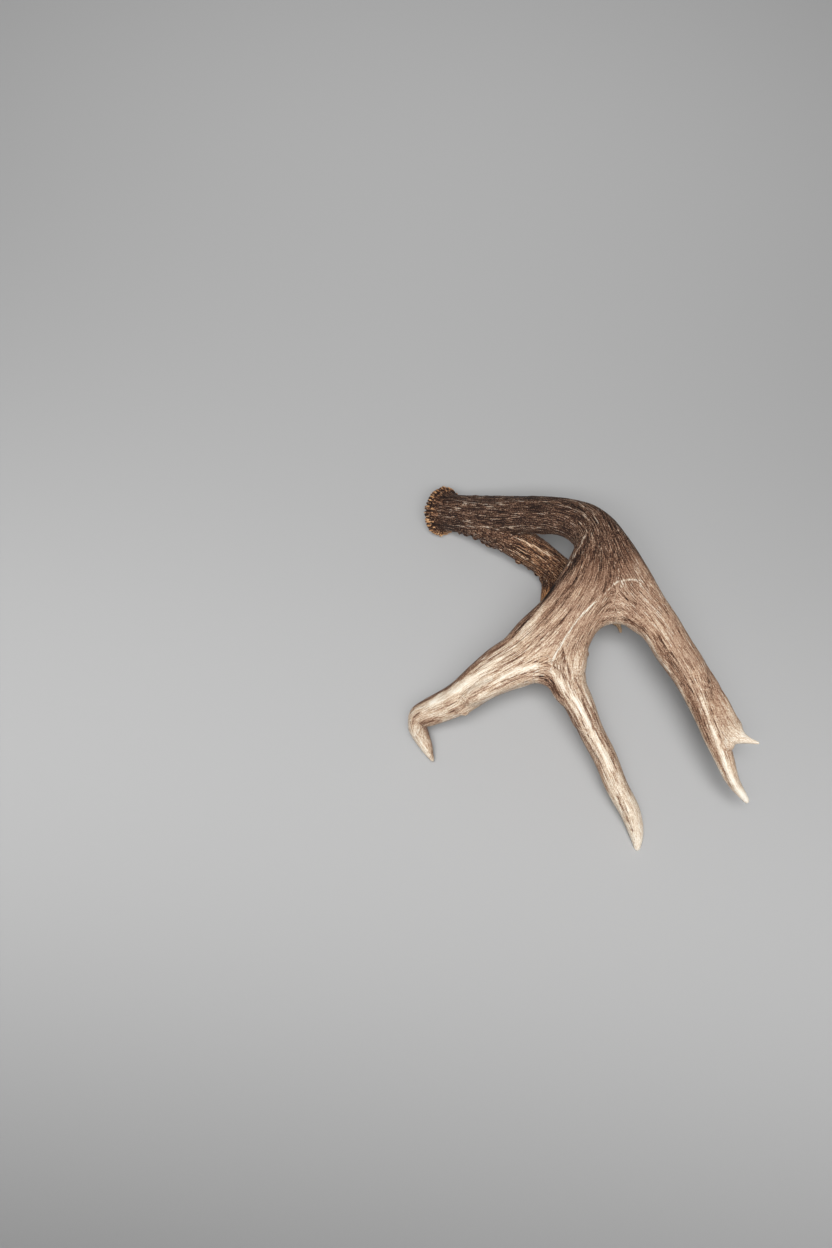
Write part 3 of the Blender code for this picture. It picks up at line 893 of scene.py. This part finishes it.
# The brown foot is the roughest, and on the worn tips, from a tone of 0.9 on, the grain fades. Heights are
# in mm.
rough = np.clip(1.15 - 1.9 * tone, 0.08, 1.0)
furrow = np.clip(-fine - 0.2, 0, 3)
trough = np.clip(-middling - 0.2, 0, 3)
height = rough * (-0.22 * furrow - 0.28 * trough + 0.14 * np.clip(middling, 0, 2) + 0.20 * broad)
height += 0.12 * noise(points, 26.0, 61) + 0.07 * noise(points, 9.0, 62)
height *= soft_step((1.02 - tone) / 0.12)
height += streak_height + pearl_height + SHRINKAGE
moved = points + height[:, None] * normals
print(f"carved {height.min():.1f} to {height.max():.1f} mm, {time.time() - started:.1f} s")

# %% Colour the grain
# Dark is 1 on brown bone and 0 on the pale tines. Pearls on brown bone are rubbed a little paler on top.
dark = soft_step((0.42 - tone) / 0.1)
rubbed = 0.08 * soft_step((pearl_top - 0.55) / 0.3) * dark
strength = np.interp(tone, [0.1, 0.3, 0.5, 0.8, 1.0], [1.0, 1.0, 1.3, 1.3, 0.4])
grain_tone = strength * (0.026 * np.tanh(1.8 * fine) + 0.020 * np.tanh(1.3 * middling) + 0.015 * broad)
tint = tone + grain_tone + streak_and_painted_light_tone + rubbed
# Sharp lines in the grain, positive where pale. They fade out on worn ivory, the pale ones are weaker than
# the dark ones, and few furrow edges are rubbed pale where the beam bends over.
lined = np.tanh(0.9 * middling) + 0.5 * np.tanh(broad)
unworn = 0.40 * dark + 0.42 * (1 - dark) * soft_step((0.88 - tone) / 0.15)
beam, brow, prong = PLACED["beam"], PLACED["brow"], PLACED["prong"]
at_bend = soft_step((beam["along"] - 150) / 30) * (beam["out"] < 1.5)
pale_share = 0.6 - 0.35 * dark * at_bend
thin += unworn * np.where(lined > 0, pale_share * lined, lined)
# Warm is how much of the orange stain shows: all of it past the prong's root, and some on the brow tine.
warm = np.interp(prong["along"], [12, 20], [0, 1]) * (prong["out"] < 1.5)
reddish = 0.45 * soft_step((1.4 - brow["out"]) / 0.4) * soft_step((brow["along"] - 36) / 30)
warm = np.clip(warm + reddish + 0.10 * noise(points, 14.0, 63), 0, 1)
print(f"tint: {tint.min():.2f} to {tint.max():.2f}, thin: {thin.min():.1f} to {thin.max():.1f}")


# %% Put places and colours on the points
def write_points(piece, places):
    """Moves the piece's points to (place + MOVE) * MM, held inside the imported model's box."""
    low, high = np.array(cad_low), np.array(cad_high)
    inside = np.clip((places + MOVE) * MM, low, high)
    piece.data.vertices.foreach_set("co", inside.astype(np.float32).ravel())
    piece.data.update()


def add_attribute(piece, name, values):
    """Stores one number or one vector per point under a name, which an Attribute node can read."""
    kind, key = ("FLOAT", "value") if values.ndim == 1 else ("FLOAT_VECTOR", "vector")
    layer = piece.data.attributes.new(name, kind, "POINT")
    layer.data.foreach_set(key, np.asarray(values, np.float32).ravel())


write_points(antler, moved)
antler.data.shade_smooth()
add_attribute(antler, "tone", np.clip(tint, 0, 1))
add_attribute(antler, "warm", warm)
add_attribute(antler, "thin", np.clip(thin, -1, 1))
add_attribute(antler, "way", way[back])
print("stored on the antler:", ", ".join(layer.name for layer in antler.data.attributes))

# %% [markdown]
# ## The burr
#
# The burr is a closed surface of revolution round the antler's foot. Its profile runs from the middle of the
# rough seal, over the rim, up the flare and into the beam, where its end is hidden. Rows of knobs stand on
# the rim, and fine ribs run from them up the flare. It is a mesh of its own, because its knobs need faces far
# smaller than the bone's.

# %% Burr: profile and knobs
BURR_AXIS = unit((0.72, -0.46, 0.52))
BURR_AROUND = 540
BURR_ROWS = 96
# Samples on the profile before its rows are picked, and how many of them the bell that rounds it spans.
SAMPLES = 400
BELL = 25
BURR_PROFILE = [
    # radius and height over the seal, in mm
    (0.5, 0.0), (7.0, 0.1), (13.0, 0.2), (17.5, 0.2), (19.8, 0.7), (21.6, 1.8), (22.2, 3.4), (21.9, 5.0),
    (21.0, 6.6), (19.7, 8.6), (18.7, 11.0), (18.1, 14.0), (17.5, 18.0), (16.8, 22.0), (15.0, 24.0),
    (8.0, 24.5), (0.5, 24.5),
]
KNOB_ROWS = [
    # how many, at which height, half width and half length in mm, how proud in mm, seed
    (46, 1.8, 0.90, 1.8, 1.5, 71),
    (46, 4.8, 0.95, 2.4, 2.4, 72),
    (44, 8.8, 0.95, 2.0, 1.9, 73),
    (40, 12.6, 0.80, 2.2, 0.9, 74),
]


def burr_profile():
    """The rows of the profile, rounded by a bell and set closest together on the rim and the flare, and the
    outward normal of each, which is the profile's direction turned by 90 degrees."""
    given = np.array(BURR_PROFILE)
    along = np.append(0, np.cumsum(np.linalg.norm(np.diff(given, axis=0), axis=1)))
    at = np.linspace(0, along[-1], SAMPLES)
    curve = np.stack([np.interp(at, along, given[:, i]) for i in range(2)], axis=1)
    kernel = np.hanning(BELL) / np.hanning(BELL).sum()
    padded = np.pad(curve, ((BELL // 2, BELL // 2), (0, 0)), mode="edge")
    smooth = np.stack([np.convolve(padded[:, i], kernel, mode="valid") for i in range(2)], axis=1)
    # The rim starts at the fifth given point, and the flare ends at the twelfth. The beam hides the last.
    share = np.interp(at, [0, along[4], along[11], along[13], along[-1]], [0, 0.16, 0.80, 0.90, 1.0])
    number = np.arange(float(SAMPLES))
    pick = np.interp(np.linspace(0, 1, BURR_ROWS), share, number)
    curve = np.stack([np.interp(pick, number, smooth[:, i]) for i in range(2)], axis=1)
    slope = np.gradient(curve, axis=0)
    return curve, unit(np.stack([slope[:, 1], -slope[:, 0]], axis=1))


def knobs(count, level, wide, long, proud, seed, turn, curve):
    """Height of one row of knobs: each is exp(-q^1.4) of its jittered place, width and length."""
    spot = turn / (2 * math.pi) * count
    best = np.zeros_like(spot * curve[:, :1])
    for step in (-1, 0, 1):
        cell = np.floor(spot) + step
        drawn = draws((cell % count).ravel(), np.zeros(cell.size), seed)
        shift, slide, size, width, _ = (values.reshape(cell.shape) for values in drawn)
        aside = (spot - cell - 0.5 - 0.5 * (shift - 0.5)) * 2 * math.pi / count * curve[:, :1]
        ahead = curve[:, 1:] - level - 1.2 * (slide - 0.5)
        q = (aside / (wide * (0.75 + 0.5 * width))) ** 2 + (ahead / long) ** 2
        best = np.maximum(best, proud * (0.5 + 0.7 * size) * np.exp(-(q**1.4)))
    return best


print(f"burr: {sum(row[0] for row in KNOB_ROWS)} knobs in {len(KNOB_ROWS)} rows")


# %% Burr: mesh
def slope_of(curve):
    """The profile's step from row to row, with a hair added so that no step is 0."""
    return np.gradient(curve, axis=0) + 1e-6


def burr_piece():
    """Point(row, turn) = centre + axis * height + ring(turn) * radius * flattened + out * total. Flattened is
    1 - 0.10 * exp(-((turn - 54 degrees) / 27 degrees)^2), which draws the rim in beside the brow tine, out is
    the profile's normal, and total is the height of knobs, ribs and pits. Shade is tone and glow is warm."""
    curve, normal = burr_profile()
    turn = np.linspace(0, 2 * math.pi, BURR_AROUND, endpoint=False)[None, :]
    side = unit(np.cross(BURR_AXIS, (0, 0, 1)))
    ring = np.cos(turn)[..., None] * side + np.sin(turn)[..., None] * np.cross(BURR_AXIS, side)
    flattened = 1 - 0.10 * np.exp(-(((turn - math.radians(54)) / math.radians(27)) ** 2))
    radius = curve[:, 0, None, None] * flattened[..., None]
    base = BURR_CENTRE + curve[:, 1, None, None] * BURR_AXIS + radius * ring
    flat = base.reshape(-1, 3)
    lift = np.zeros(base.shape[:2])
    for row in KNOB_ROWS:
        lift = np.maximum(lift, knobs(*row, turn, curve))
    rim = soft_step((curve[:, :1] - 17) / 2.5) * soft_step((16 - curve[:, 1:]) / 5)
    ribs_at = (ring * 22 + 0.06 * curve[:, 1, None, None] * BURR_AXIS).reshape(-1, 3)
    ribs = noise(ribs_at, 1.3, 75).reshape(lift.shape)
    coarse = noise(flat, 1.7, 76).reshape(lift.shape)
    pits = noise(flat, 0.9, 77).reshape(lift.shape)
    seal = soft_step((19 - curve[:, :1]) / 2) * soft_step((2 - curve[:, 1:]) / 1)
    fade = soft_step((21 - curve[:, 1:]) / 5)
    ribbed = fade * (0.50 * ribs + 0.10 * coarse) * (1 - seal)
    total = lift * rim + ribbed - seal * (0.2 + 0.2 * coarse + 0.1 * pits)
    out = normal[:, 0, None, None] * ring + normal[:, 1, None, None] * BURR_AXIS
    places = (base + total[..., None] * out).reshape(-1, 3)
    top = soft_step((lift * rim - 0.75) / 1.1) * soft_step((12.5 - curve[:, 1:]) / 4.0)
    flare = soft_step((curve[:, 1:] - 5.0) / 4.0)
    shade = 0.02 + 0.32 * flare * np.clip(1.5 * ribs, 0, 1) * (1 - top) + 0.56 * top + 0.08 * pits
    shade = (1 - seal) * shade + seal * (0.30 + 0.10 * coarse)
    glow = 0.80 * top + 0.25
    slope = unit(slope_of(curve))
    upward = slope[:, 0, None, None] * ring + slope[:, 1, None, None] * BURR_AXIS
    print(f"burr: relief from {total.min():.1f} to {total.max():.1f} mm")
    return places, shade.ravel(), glow.ravel(), np.broadcast_to(upward, base.shape).reshape(-1, 3)


burr_points, burr_tone, burr_warm, burr_way = burr_piece()
burr_quads = grid_faces(BURR_ROWS, BURR_AROUND).tolist()
last = (BURR_ROWS - 1) * BURR_AROUND
caps = [list(reversed(range(BURR_AROUND))), [last + i for i in range(BURR_AROUND)]]
burr = mesh_piece("burr", burr_points, burr_quads + caps)
write_points(burr, burr_points)
burr.data.shade_smooth()
add_attribute(burr, "tone", np.clip(burr_tone, 0, 1))
add_attribute(burr, "warm", np.clip(burr_warm, 0, 1))
add_attribute(burr, "thin", np.zeros(len(burr_points)))
add_attribute(burr, "way", burr_way)
print(f"burr: {len(burr_points)} points, {len(burr.data.polygons)} faces")

# %% [markdown]
# ## Colours
#
# Antler is dark brown at its foot and ivory at its tips, and here and there stained orange. One ramp turns
# tone into colour, and a second one, for the stains, is mixed in where warm is high. A picture could colour
# it too, but a ramp keeps every shade between brown and ivory one that bone can have.

# %% Colours and helpers for nodes
BONE_COLOURS = [
    (0.00, (28, 16, 11)),
    (0.15, (59, 35, 24)),
    (0.30, (92, 61, 44)),
    (0.45, (134, 100, 78)),
    (0.60, (176, 143, 119)),
    (0.75, (205, 180, 154)),
    (0.90, (231, 215, 193)),
    (1.00, (244, 236, 222)),
]
STAIN_COLOURS = [
    (0.00, (38, 22, 15)),
    (0.15, (66, 41, 29)),
    (0.30, (108, 70, 46)),
    (0.45, (160, 108, 68)),
    (0.60, (206, 158, 108)),
    (0.80, (228, 190, 145)),
    (1.00, (246, 230, 205)),
]


def linear(colour):
    """Screen colours from 0 to 255 as the linear values that a shader takes."""
    share = np.array(colour) / 255
    return (*np.where(share <= 0.04045, share / 12.92, ((share + 0.055) / 1.055) ** 2.4), 1.0)


def add_ramp(nodes, colours):
    """A Color Ramp node with one stop for each position and colour of the list."""
    ramp = nodes.new("ShaderNodeValToRGB")
    stops = ramp.color_ramp.elements
    while len(stops) < len(colours):
        stops.new(0.5)
    for stop, (position, colour) in zip(stops, colours):
        stop.position = position
        stop.color = linear(colour)
    return ramp


def add_math(tree, kind, first, second):
    """A Math node. Each input is a socket or a number."""
    node = tree.nodes.new("ShaderNodeMath")
    node.operation = kind
    for socket, value in zip(node.inputs, (first, second)):
        if isinstance(value, (int, float)):
            socket.default_value = value
        else:
            tree.links.new(value, socket)
    return node.outputs[0]


def new_group(name, inputs, outputs):
    """An empty node group with the named sockets, and its own Input and Output sockets by name."""
    group = bpy.data.node_groups.new(name, "ShaderNodeTree")
    for title, kind in inputs:
        group.interface.new_socket(title, in_out="INPUT", socket_type=kind)
    for title, kind in outputs:
        group.interface.new_socket(title, in_out="OUTPUT", socket_type=kind)
    return group, group.nodes.new("NodeGroupInput").outputs, group.nodes.new("NodeGroupOutput").inputs


print(f"ramps: {len(BONE_COLOURS)} bone colours and {len(STAIN_COLOURS)} stain colours")

# %% [markdown]
# ## Detail finer than the faces
#
# The points carry the broad tones, but hair lines are narrower than a face. The shader makes them: noise
# samples in a row along the grain's direction, averaged, give lines that follow every bend. They also fray
# the sharp lines that are drawn where thin is strong. Small spots and pores are plain noise. Denser faces
# would carry all this too, but they would be millions.

# %% Node group: hair lines along the grain
GRAIN_TAPS = 13
# Averaged noise keeps close to 0.5, so it is spread this much to reach about -1 and 1.
GRAIN_SPREAD = 28.0


def grain_group():
    """(The mean of GRAIN_TAPS noises at place + k * stride * way, less 0.5) * GRAIN_SPREAD."""
    inputs = [("Place", "NodeSocketVector"), ("Way", "NodeSocketVector"), ("Scale", "NodeSocketFloat"),
              ("Stride", "NodeSocketFloat")]
    group, given, result = new_group("hair_lines", inputs, [("Grain", "NodeSocketFloat")])
    total = None
    for tap in range(GRAIN_TAPS):
        reach = add_math(group, "MULTIPLY", given["Stride"], float(tap - GRAIN_TAPS // 2))
        slide = group.nodes.new("ShaderNodeVectorMath")
        slide.operation = "SCALE"
        group.links.new(given["Way"], slide.inputs[0])
        group.links.new(reach, slide.inputs["Scale"])
        spot = group.nodes.new("ShaderNodeVectorMath")
        spot.operation = "ADD"
        group.links.new(given["Place"], spot.inputs[0])
        group.links.new(slide.outputs[0], spot.inputs[1])
        sample = group.nodes.new("ShaderNodeTexNoise")
        sample.inputs["Detail"].default_value = 1.0
        group.links.new(spot.outputs[0], sample.inputs["Vector"])
        group.links.new(given["Scale"], sample.inputs["Scale"])
        value = sample.outputs[0]
        total = value if total is None else add_math(group, "ADD", total, value)
    mean = add_math(group, "DIVIDE", total, float(GRAIN_TAPS))
    centred = add_math(group, "SUBTRACT", mean, 0.5)
    group.links.new(add_math(group, "MULTIPLY", centred, GRAIN_SPREAD), result["Grain"])
    return group


hair_lines = grain_group()
print(f"group {hair_lines.name}: {len(hair_lines.nodes)} nodes")


# %% Node group: the bone's colour, roughness and relief
def add_map(tree, value, before, after):
    """A Map Range node that takes the value from the one range to the other and stops at its ends."""
    node = tree.nodes.new("ShaderNodeMapRange")
    settings = zip(("From Min", "From Max", "To Min", "To Max"), (*before, *after))
    for title, number in settings:
        node.inputs[title].default_value = number
    tree.links.new(value, node.inputs["Value"])
    return node.outputs[0]


def surface_group():
    """Detail = share(tone) * (lines + speck) + sharp lines. Colour is tone + detail looked up in the ramps,
    roughness is 0.66 - 0.26 * (tone + detail), so that worn ivory shines most, and height is detail."""
    inputs = [("Tone", "NodeSocketFloat"), ("Warm", "NodeSocketFloat"), ("Grain", "NodeSocketFloat"),
              ("Thin", "NodeSocketFloat"), ("Place", "NodeSocketVector")]
    outputs = [("Color", "NodeSocketColor"), ("Roughness", "NodeSocketFloat"), ("Height", "NodeSocketFloat")]
    group, given, result = new_group("bone_surface", inputs, outputs)
    spots = group.nodes.new("ShaderNodeTexNoise")
    spots.inputs["Scale"].default_value = 950.0
    spots.inputs["Detail"].default_value = 2.0
    group.links.new(given["Place"], spots.inputs["Vector"])
    speck = add_math(group, "MULTIPLY", add_math(group, "SUBTRACT", spots.outputs[0], 0.5), 0.64)
    # Worn tips show little grain and the furrowed beam much of it: its share falls as the tone rises.
    share = add_map(group, given["Tone"], (0.80, 1.00), (1.00, 0.25))
    more = add_map(group, given["Tone"], (0.17, 0.40), (2.00, 1.00))
    share = add_math(group, "MULTIPLY", share, more)
    lines = add_math(group, "MULTIPLY", given["Grain"], 0.15)
    detail = add_math(group, "MULTIPLY", add_math(group, "ADD", lines, speck), share)
    # The grain frays the sharp lines: they stand where thin, with a little grain added, is far enough from 0.
    frayed = add_math(group, "ADD", given["Thin"], add_math(group, "MULTIPLY", given["Grain"], 0.30))
    pale = add_map(group, frayed, (0.52, 0.78), (0.0, 0.30))
    dark = add_map(group, frayed, (-0.76, -0.46), (-0.16, 0.0))
    detail = add_math(group, "ADD", detail, add_math(group, "ADD", pale, dark))
    shade = add_math(group, "ADD", given["Tone"], detail)
    plain = add_ramp(group.nodes, BONE_COLOURS)
    stained = add_ramp(group.nodes, STAIN_COLOURS)
    mix = group.nodes.new("ShaderNodeMix")
    mix.data_type = "RGBA"
    for ramp in (plain, stained):
        group.links.new(shade, ramp.inputs["Fac"])
    group.links.new(given["Warm"], mix.inputs["Factor"])
    group.links.new(plain.outputs["Color"], mix.inputs["A"])
    group.links.new(stained.outputs["Color"], mix.inputs["B"])
    group.links.new(mix.outputs["Result"], result["Color"])
    worn = add_math(group, "SUBTRACT", 0.66, add_math(group, "MULTIPLY", shade, 0.26))
    group.links.new(worn, result["Roughness"])
    group.links.new(detail, result["Height"])
    return group


bone_surface = surface_group()
print(f"group {bone_surface.name}: {len(bone_surface.nodes)} nodes")

# %% [markdown]
# ## Bone material
#
# Burr and beam are the same bone, so both meshes get one material, and what differs between them is stored on
# their points. Each mesh then rides on the root body, and the imported nodes are hidden.


# %% Bone material
def add_group(nodes, group):
    """A node that holds the group."""
    node = nodes.new("ShaderNodeGroup")
    node.node_tree = group
    return node


def bone_material():
    """The points' values and the object's own coordinates go through the two groups into one shader. Scale is
    in cells per metre, and Stride and the bump's Distance are in metres."""
    material = bpy.data.materials.new("bone")
    material.use_nodes = True
    nodes, links = material.node_tree.nodes, material.node_tree.links
    shader = nodes["Principled BSDF"]
    place = nodes.new("ShaderNodeTexCoord")
    values = {}
    for name in ("tone", "warm", "thin", "way"):
        values[name] = nodes.new("ShaderNodeAttribute")
        values[name].attribute_name = name
    lines = add_group(nodes, hair_lines)
    lines.inputs["Scale"].default_value = 1250.0
    lines.inputs["Stride"].default_value = 0.0009
    links.new(place.outputs["Object"], lines.inputs["Place"])
    links.new(values["way"].outputs["Vector"], lines.inputs["Way"])
    surface = add_group(nodes, bone_surface)
    links.new(values["tone"].outputs["Fac"], surface.inputs["Tone"])
    links.new(values["warm"].outputs["Fac"], surface.inputs["Warm"])
    links.new(values["thin"].outputs["Fac"], surface.inputs["Thin"])
    links.new(lines.outputs["Grain"], surface.inputs["Grain"])
    links.new(place.outputs["Object"], surface.inputs["Place"])
    shader.inputs["Specular IOR Level"].default_value = 0.3
    bump = nodes.new("ShaderNodeBump")
    bump.inputs["Strength"].default_value = 0.8
    bump.inputs["Distance"].default_value = 0.0009
    links.new(surface.outputs["Height"], bump.inputs["Height"])
    links.new(bump.outputs["Normal"], shader.inputs["Normal"])
    links.new(surface.outputs["Color"], shader.inputs["Base Color"])
    links.new(surface.outputs["Roughness"], shader.inputs["Roughness"])
    return material


bone = bone_material()
for piece, slot in ((antler, "upper_beam"), (burr, "lower_beam")):
    piece.data.materials.append(bone)
    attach(piece, "root")
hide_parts(*frame["nodes"])
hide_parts("lower_beam")
print(f"material {bone.name}: {len(bone.node_tree.nodes)} nodes")

# %% [markdown]
# ## Floor, light and camera
#
# The antler lies on plain grey paper and is seen from in front and above. Two wide lamps hang in one place, a
# narrow cone for the antler and a wide one for the paper behind it, and a little grey light comes from all
# sides. Wide lamps throw soft shadows, where a small one would cut hard ones.

# %% Floor, light and camera
# The camera's place in the drawing, in mm, and half the floor's side, in metres.
CAMERA_SPOT = np.array([-22.6, -909.8, 1383.7])
FLOOR_HALF = 3.0
# Both lamps: their place and size in metres.
LAMP_PLACE = (-0.26, -1.0, 1.9)
LAMP_SIZE = (1.8, 0.6)


def stage():
    mesh = bpy.data.meshes.new("floor")
    corners = [(-1, -1), (1, -1), (1, 1), (-1, 1)]
    mesh.from_pydata([(x * FLOOR_HALF, y * FLOOR_HALF, 0) for x, y in corners], [], [(0, 1, 2, 3)])
    floor = bpy.data.objects.new("floor", mesh)
    bpy.context.scene.collection.objects.link(floor)
    material = bpy.data.materials.new("floor")
    material.use_nodes = True
    shader = material.node_tree.nodes["Principled BSDF"]
    shader.inputs["Base Color"].default_value = (0.43, 0.43, 0.43, 1)
    shader.inputs["Roughness"].default_value = 0.9
    mesh.materials.append(material)


def soft_light(name, target, power, spread):
    """A wide lamp at LAMP_PLACE that looks along target - LAMP_PLACE, with its light in a cone of so many
    degrees."""
    lamp = bpy.data.lights.new(name, "AREA")
    lamp.shape = "RECTANGLE"
    lamp.size, lamp.size_y = LAMP_SIZE
    lamp.energy = power
    lamp.spread = math.radians(spread)
    light = bpy.data.objects.new(name, lamp)
    bpy.context.scene.collection.objects.link(light)
    light.location = LAMP_PLACE
    light.rotation_euler = (Vector(target) - Vector(LAMP_PLACE)).to_track_quat("-Z", "Y").to_euler()


def camera():
    """A 50 mm lens at CAMERA_SPOT. A turn of 0 looks straight down, so 30 degrees looks 60 below level."""
    lens = bpy.data.cameras.new("camera")
    lens.lens = 50
    lens.sensor_width = 36
    view = bpy.data.objects.new("camera", lens)
    bpy.context.scene.collection.objects.link(view)
    view.location = (CAMERA_SPOT + MOVE) * MM
    view.rotation_euler = (math.radians(30), 0, 0)
    bpy.context.scene.camera = view


stage()
soft_light("near", (-0.14, -0.25, 0), 3.3, 24)
soft_light("far", (-0.14, 0.8, 0), 7.7, 48)
world = bpy.data.worlds.new("studio")
bpy.context.scene.world = world
world.use_nodes = True
world.node_tree.nodes["Background"].inputs["Color"].default_value = (0.8, 0.8, 0.8, 1)
world.node_tree.nodes["Background"].inputs["Strength"].default_value = 0.2
bpy.context.scene.view_settings.view_transform = "Standard"
camera()
print(f"camera {np.linalg.norm((CAMERA_SPOT + MOVE) * MM):.2f} m from the middle of the antler's floor")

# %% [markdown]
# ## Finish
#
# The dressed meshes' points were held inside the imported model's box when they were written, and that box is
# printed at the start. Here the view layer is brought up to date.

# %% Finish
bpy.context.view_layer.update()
print(f"done in {time.time() - started:.1f} s")
